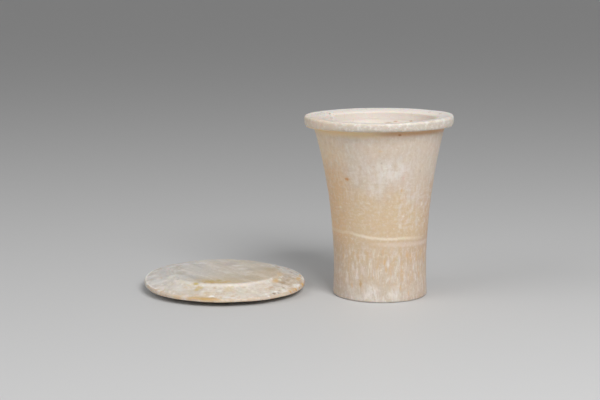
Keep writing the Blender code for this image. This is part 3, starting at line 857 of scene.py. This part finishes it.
# Single marks: centre, reach along x, its shares along y and z, colour and strength
lid_marks = (
    ((-0.1071, -0.0197, 0.0095), 0.0025, 0.96, 0.65, (0.50, 0.39, 0.12), 0.90),
    ((-0.1063, -0.0259, 0.0076), 0.0030, 0.76, 0.31, (0.54, 0.40, 0.15), 0.85),
    ((-0.1051, -0.0236, 0.0083), 0.0036, 0.90, 0.29, (0.56, 0.43, 0.19), 0.75),
    ((-0.0981, -0.0145, 0.0099), 0.0053, 0.76, 0.15, (0.46, 0.36, 0.14), 0.80),
    ((-0.0946, -0.0130, 0.0099), 0.0032, 1.27, 0.25, (0.46, 0.36, 0.14), 0.70),
    ((-0.1011, -0.0169, 0.0098), 0.0026, 0.91, 0.30, (0.46, 0.36, 0.14), 0.65),
    ((-0.1204, 0.0171, 0.0111), 0.0048, 1.64, 0.17, (0.44, 0.385, 0.31), 0.80),
    ((-0.1179, 0.0049, 0.0107), 0.0053, 1.75, 0.15, (0.45, 0.40, 0.33), 0.70),
    ((-0.1302, -0.0183, 0.0055), 0.0048, 0.37, 0.46, (0.56, 0.42, 0.31), 0.85),
    ((-0.1272, -0.0222, 0.0051), 0.0048, 0.18, 0.46, (0.55, 0.42, 0.29), 0.80),
    ((-0.1241, -0.0256, 0.0040), 0.0064, 0.10, 0.37, (0.52, 0.40, 0.25), 0.85),
    ((-0.1194, -0.0271, 0.0058), 0.0014, 1.91, 0.67, (0.80, 0.78, 0.74), 0.80),
    ((-0.0974, -0.0344, 0.0057), 0.0028, 0.63, 0.29, (0.90, 0.89, 0.86), 0.95),
    ((-0.1075, -0.0349, 0.0050), 0.0120, 0.27, 0.18, (0.53, 0.38, 0.20), 0.90),
    ((-0.1003, -0.0365, 0.0049), 0.0085, 0.32, 0.25, (0.51, 0.35, 0.14), 0.95),
    ((-0.0955, -0.0373, 0.0048), 0.0053, 0.31, 0.38, (0.54, 0.37, 0.19), 0.90),
    ((-0.1292, 0.0114, 0.0095), 0.0085, 2.09, 0.15, (0.52, 0.495, 0.49), 0.65),
    ((-0.1231, -0.0034, 0.0100), 0.0064, 0.73, 0.20, (0.74, 0.70, 0.62), 0.65),
    ((-0.1107, -0.0193, 0.0089), 0.0032, 0.59, 0.29, (0.66, 0.57, 0.38), 0.50),
    ((-0.0896, 0.0287, 0.0112), 0.0064, 1.26, 0.15, (0.43, 0.41, 0.40), 0.60),
    ((-0.0849, 0.0246, 0.0110), 0.0053, 0.75, 0.15, (0.70, 0.67, 0.63), 0.80),
    ((-0.0819, 0.0170, 0.0107), 0.0053, 0.82, 0.15, (0.69, 0.655, 0.615), 0.75),
    ((-0.0789, 0.0087, 0.0104), 0.0053, 0.89, 0.15, (0.67, 0.63, 0.59), 0.65),
    ((-0.0701, 0.0169, 0.0106), 0.0138, 0.57, 0.15, (0.42, 0.345, 0.245), 0.54),
    ((-0.0645, 0.0141, 0.0105), 0.0064, 1.22, 0.15, (0.46, 0.37, 0.25), 0.80),
    ((-0.0848, -0.0073, 0.0100), 0.0116, 0.70, 0.15, (0.44, 0.36, 0.26), 0.38),
    ((-0.0766, -0.0042, 0.0100), 0.0085, 0.88, 0.15, (0.44, 0.36, 0.26), 0.40),
    ((-0.0883, -0.0001, 0.0102), 0.0095, 0.61, 0.15, (0.48, 0.41, 0.29), 0.35),
    ((-0.0883, -0.0266, 0.0079), 0.0044, 1.10, 0.45, (0.62, 0.49, 0.30), 0.60),
    ((-0.0867, -0.0238, 0.0086), 0.0034, 0.66, 0.41, (0.62, 0.49, 0.29), 0.65),
    ((-0.0614, -0.0074, 0.0086), 0.0038, 1.90, 0.43, (0.64, 0.44, 0.22), 0.80),
    ((-0.0597, 0.0053, 0.0098), 0.0038, 1.73, 0.26, (0.62, 0.47, 0.29), 0.70),
    ((-0.0569, -0.0074, 0.0076), 0.0053, 0.96, 0.21, (0.40, 0.30, 0.20), 0.95),
    ((-0.0538, -0.0012, 0.0076), 0.0042, 1.42, 0.20, (0.43, 0.33, 0.22), 0.90),
    ((-0.0548, 0.0057, 0.0084), 0.0053, 1.32, 0.15, (0.46, 0.40, 0.33), 0.75),
    ((-0.0524, -0.0058, 0.0068), 0.0037, 1.15, 0.22, (0.50, 0.39, 0.27), 0.75),
    ((-0.0479, 0.0073, 0.0066), 0.0025, 3.28, 0.31, (0.64, 0.43, 0.20), 0.95),
    ((-0.0457, -0.0017, 0.0054), 0.0021, 1.77, 0.89, (0.62, 0.40, 0.16), 0.95),
    ((-0.0471, 0.0174, 0.0064), 0.0023, 2.83, 0.34, (0.64, 0.47, 0.28), 0.70),
    ((-0.0486, -0.0064, 0.0058), 0.0020, 2.57, 0.45, (0.82, 0.78, 0.74), 0.90),
    ((-0.0497, -0.0131, 0.0046), 0.0048, 0.23, 0.45, (0.56, 0.30, 0.09), 1.00),
    ((-0.0528, -0.0180, 0.0046), 0.0037, 0.22, 0.47, (0.58, 0.34, 0.13), 0.95),
    ((-0.0474, -0.0083, 0.0046), 0.0032, 0.26, 0.56, (0.58, 0.34, 0.13), 0.95),
    ((-0.0643, -0.0180, 0.0073), 0.0017, 0.69, 0.47, (0.52, 0.30, 0.16), 0.70),
    ((-0.0632, -0.0168, 0.0074), 0.0011, 1.13, 0.76, (0.58, 0.38, 0.20), 0.60),
    ((-0.0667, -0.0211, 0.0071), 0.0015, 1.20, 0.54, (0.60, 0.46, 0.26), 0.60),
    ((-0.0622, -0.0255, 0.0053), 0.0014, 1.12, 0.58, (0.20, 0.17, 0.10), 0.85),
    ((-0.0596, -0.0238, 0.0052), 0.0008, 1.35, 0.94, (0.30, 0.24, 0.14), 0.70),
    ((-0.0698, -0.0305, 0.0052), 0.0017, 0.96, 0.47, (0.76, 0.74, 0.72), 0.80),
    ((-0.0668, -0.0279, 0.0055), 0.0012, 1.45, 0.69, (0.78, 0.76, 0.74), 0.80),
    ((-0.0654, -0.0295, 0.0048), 0.0013, 0.57, 0.63, (0.82, 0.80, 0.78), 0.70),
    ((-0.0612, -0.0229, 0.0057), 0.0017, 1.09, 0.47, (0.84, 0.82, 0.80), 0.80),
    ((-0.0510, -0.0150, 0.0053), 0.0055, 0.60, 0.45, (0.58, 0.41, 0.22), 0.70),
    ((-0.0640, -0.0149, 0.0079), 0.0019, 1.68, 0.49, (0.78, 0.74, 0.69), 0.80),
    ((-0.0893, -0.0352, 0.0054), 0.0032, 0.48, 0.25, (0.74, 0.72, 0.70), 0.70),
    ((-0.0858, -0.0354, 0.0053), 0.0026, 0.58, 0.30, (0.74, 0.72, 0.70), 0.70),
    ((-0.0558, 0.0197, 0.0087), 0.0053, 2.18, 0.16, (0.56, 0.52, 0.47), 0.50),
    ((-0.1083, 0.0304, 0.0114), 0.0064, 0.42, 0.15, (0.78, 0.75, 0.72), 0.60),
    ((-0.1135, -0.0277, 0.0064), 0.0127, 0.39, 0.15, (0.56, 0.48, 0.37), 0.55),
    ((-0.1175, -0.0306, 0.0046), 0.0085, 0.28, 0.25, (0.57, 0.45, 0.30), 0.80),
    ((-0.1219, -0.0174, 0.0076), 0.0074, 0.71, 0.22, (0.56, 0.51, 0.47), 0.55),
    ((-0.0806, -0.0296, 0.0066), 0.0095, 0.62, 0.26, (0.64, 0.59, 0.51), 0.50),
    ((-0.0618, -0.0152, 0.0074), 0.0074, 0.87, 0.25, (0.56, 0.48, 0.39), 0.55),
    ((-0.0685, -0.0313, 0.0045), 0.0110, 0.24, 0.20, (0.52, 0.45, 0.37), 0.65),
)
for centre, reach, share_y, share_z, colour, strength in lid_marks:
    mark = stone.spot(centre, reach, 0.85, (1.0, share_y, share_z), ragged)
    stone.lay(colour, mark, strength)
stone.lay(GRIME_AND_SHADE, stone.layer("chipped"), 0.60)

relief = stone.sum("MULTIPLY", stone.cloud(0.0011, 3.0, 0.6), 0.6)
relief = stone.sum("MULTIPLY_ADD", stone.specks(0.0040, 0.0008, 0.40), -0.8, relief)
relief = stone.sum("MULTIPLY_ADD", patch, 1.4, relief)
sheen = stone.sum("MULTIPLY_ADD", mottle, 0.20, 0.44)
stone.polish(roughness=sheen, height=relief, depth=0.00018, glow=0.4)

lid = finished(lid_solid, "stone_lid", stone.material)
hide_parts("lid")

# Studio
# A plain pale floor that runs on to the horizon, a large soft lamp in front and to the right of the jar,
# a weaker one from the left, and a camera that looks slightly down from the height of a raised hand.
FLOOR_SIDE = 16.0
FLOOR_GREY = 0.58
SKY_STRENGTH = 0.31
JAR_MIDDLE = (0.0, 0.0, 0.05)
KEY_WATTS = 12.3
FILL_WATTS = 3.5
CAMERA_PLACE = (-0.04727, -0.8283, 0.1934)
CAMERA_DROP = 9.46
LENS_LENGTH = 86.16
SENSOR_WIDTH = 36.0

floor_shape = bmesh.new()
bmesh.ops.create_grid(floor_shape, x_segments=1, y_segments=1, size=FLOOR_SIDE / 2)
floor_mesh = bpy.data.meshes.new("studio_floor")
floor_shape.to_mesh(floor_mesh)
floor_shape.free()
floor_paint = bpy.data.materials.new("pale_floor")
floor_paint.use_nodes = True
floor_shader = floor_paint.node_tree.nodes["Principled BSDF"]
floor_shader.inputs["Base Color"].default_value = (FLOOR_GREY, FLOOR_GREY, FLOOR_GREY, 1.0)
floor_shader.inputs["Roughness"].default_value = 0.6
floor_mesh.materials.append(floor_paint)
studio_floor = bpy.data.objects.new("studio_floor", floor_mesh)
bpy.context.scene.collection.objects.link(studio_floor)

world = bpy.data.worlds.new("studio")
world.use_nodes = True
world.node_tree.nodes["Background"].inputs["Color"].default_value = (1.0, 1.0, 1.0, 1.0)
world.node_tree.nodes["Background"].inputs["Strength"].default_value = SKY_STRENGTH
bpy.context.scene.world = world


def softbox(name, place, aim, width, height, watts):
    """A soft rectangular studio lamp that points at a spot."""
    lamp = bpy.data.lights.new(name, "AREA")
    lamp.shape = "RECTANGLE"
    lamp.size = width
    lamp.size_y = height
    lamp.energy = watts
    holder = bpy.data.objects.new(name, lamp)
    holder.location = place
    holder.rotation_euler = (Vector(aim) - Vector(place)).to_track_quat("-Z", "Y").to_euler()
    bpy.context.scene.collection.objects.link(holder)


softbox("key", (0.35, -0.85, 0.85), JAR_MIDDLE, 0.6, 0.6, KEY_WATTS)
softbox("fill", (-0.9, -0.5, 0.7), JAR_MIDDLE, 0.8, 0.8, FILL_WATTS)

bpy.context.scene.view_settings.view_transform = "Standard"

lens = bpy.data.cameras.new("camera")
lens.lens = LENS_LENGTH
lens.sensor_width = SENSOR_WIDTH
lens.clip_start = 0.05
lens.clip_end = 40.0
camera = bpy.data.objects.new("camera", lens)
camera.location = CAMERA_PLACE
camera.rotation_euler = (math.radians(90 - CAMERA_DROP), 0.0, 0.0)
bpy.context.scene.collection.objects.link(camera)
bpy.context.scene.camera = camera
